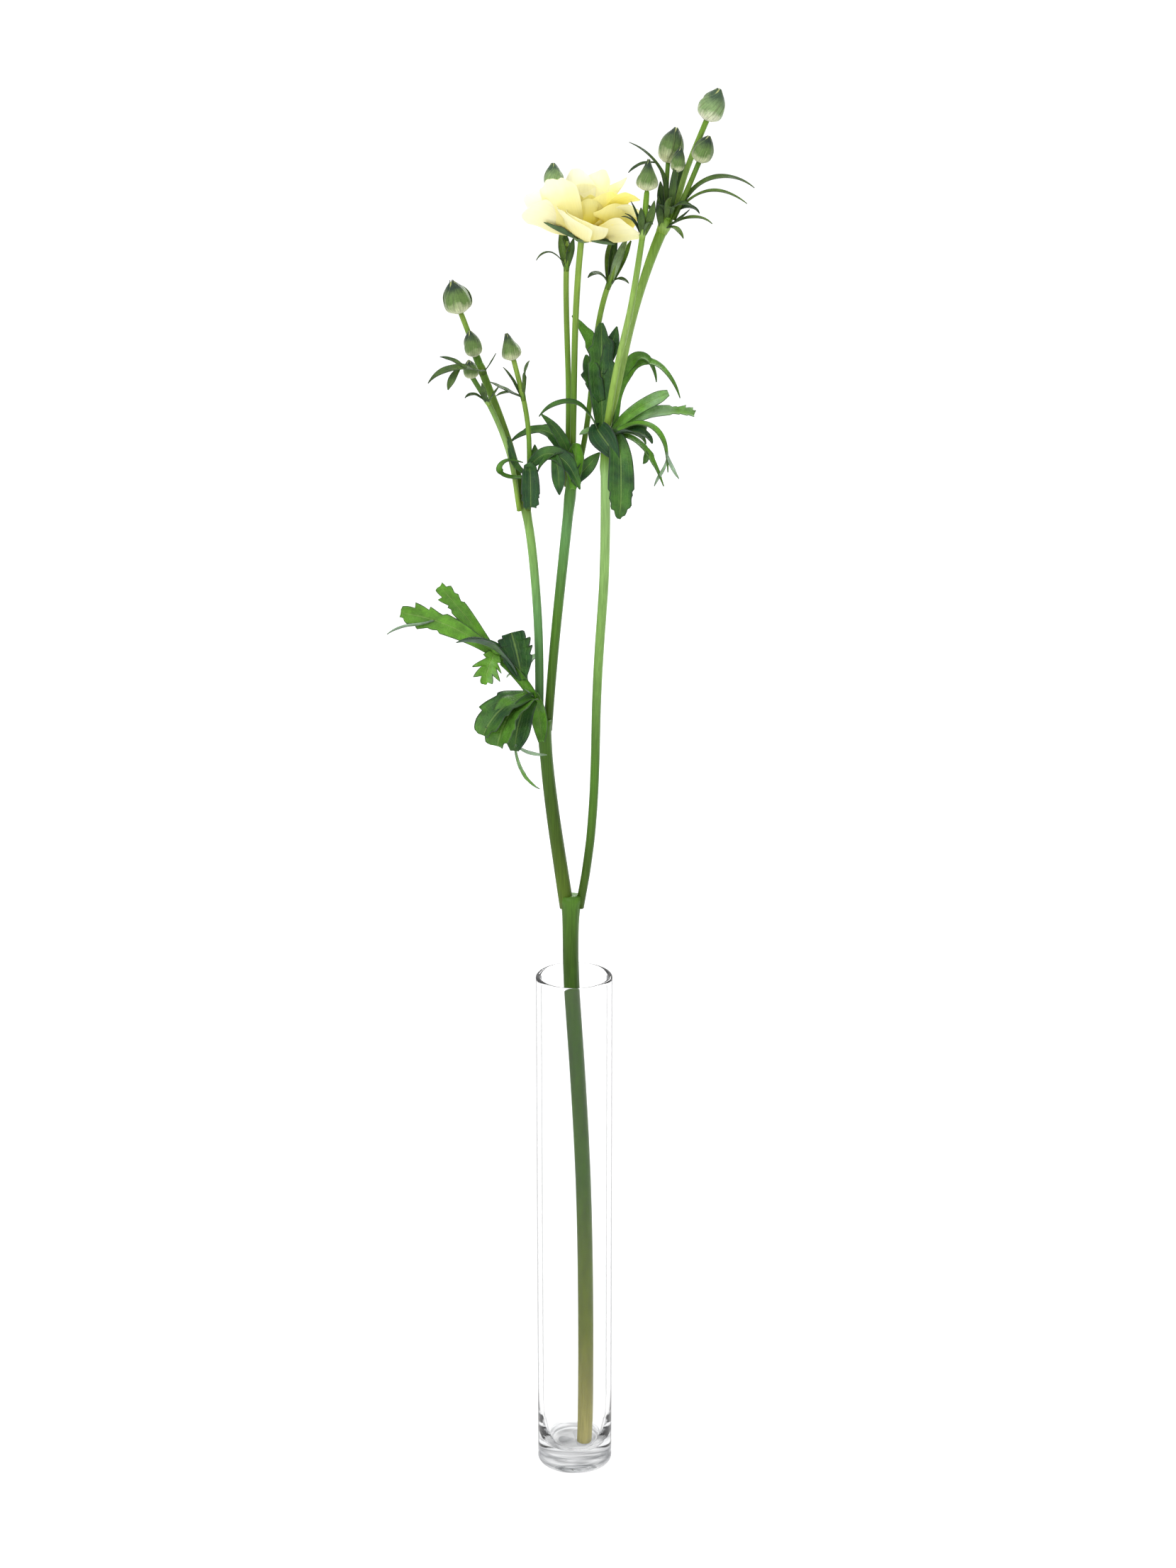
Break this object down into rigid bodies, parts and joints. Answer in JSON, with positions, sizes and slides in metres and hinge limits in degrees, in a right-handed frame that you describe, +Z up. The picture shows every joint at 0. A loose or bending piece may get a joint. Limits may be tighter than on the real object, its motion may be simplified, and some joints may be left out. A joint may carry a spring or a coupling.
{
  "type": "ranunculus flower in glass vase",
  "caption": "Spray ranunculus with a cream open flower, closed buds and lobed leaves on branching stems, standing in a slim clear glass cylinder vase.",
  "frame": {"origin": "middle of the vase's underside, on the surface it stands on", "axes": "+Z up along the vase and the plant; -Y is the front, the side that the open flower and the leaves are shown from; +X is to the right seen from the front"},
  "size_m": [0.1329, 0.046, 0.5474],
  "materials": {
    "clear_glass": "polished",
    "stem_green": "satin",
    "stalk_green": "satin",
    "leaf_green": "satin",
    "bract_green": "satin",
    "bud_green": "matte",
    "petal_cream": "matte",
    "petal_yellow": "matte",
    "centre_green": "matte"
  },
  "bodies": {
    "root": {"bracts_behind_stalk": "bract_green", "bracts_crown": "bract_green", "bracts_front_stalk": "bract_green", "bracts_inner_stalk": "bract_green", "bracts_low_stalk": "bract_green", "bracts_shaded_stalk": "bract_green", "bracts_tall_stalk": "bract_green", "bud_1": "bud_green", "bud_10": "bud_green", "bud_2": "bud_green", "bud_3": "bud_green", "bud_4": "bud_green", "bud_5": "bud_green", "bud_6": "bud_green", "bud_7": "bud_green", "bud_8": "bud_green", "bud_9": "bud_green", "calyx": "bract_green", "flower_centre": "centre_green", "leaf_left": "leaf_green", "leaf_low": "leaf_green", "leaf_middle": "leaf_green", "leaf_right_erect": "leaf_green", "leaf_right_front": "leaf_green", "leaf_right_hanging": "leaf_green", "leaf_right_spreading": "leaf_green", "left_branch_stem": "stem_green", "left_stem": "stem_green", "main_stem": "stem_green", "middle_stem": "stem_green", "petal_inner_1": "petal_yellow", "petal_inner_2": "petal_yellow", "petal_inner_3": "petal_yellow", "petal_inner_4": "petal_yellow", "petal_middle_1": "petal_yellow", "petal_middle_2": "petal_yellow", "petal_middle_3": "petal_yellow", "petal_middle_4": "petal_yellow", "petal_middle_5": "petal_yellow", "petal_outer_1": "petal_cream", "petal_outer_2": "petal_cream", "petal_outer_3": "petal_cream", "petal_outer_4": "petal_cream", "petal_outer_5": "petal_cream", "right_branch_stem": "stem_green", "stalk_behind": "stalk_green", "stalk_bud_1": "stalk_green", "stalk_bud_2": "stalk_green", "stalk_bud_3": "stalk_green", "stalk_bud_4": "stalk_green", "stalk_bud_6": "stalk_green", "stalk_bud_7": "stalk_green", "stalk_flower": "stalk_green", "stalk_left_inner": "stalk_green", "stalk_left_low": "stalk_green", "stalk_left_tall": "stalk_green", "stalk_right_front": "stalk_green", "stalk_right_tall": "stalk_green", "stalk_shaded": "stalk_green", "vase": "clear_glass"}
  },
  "joints": []
}
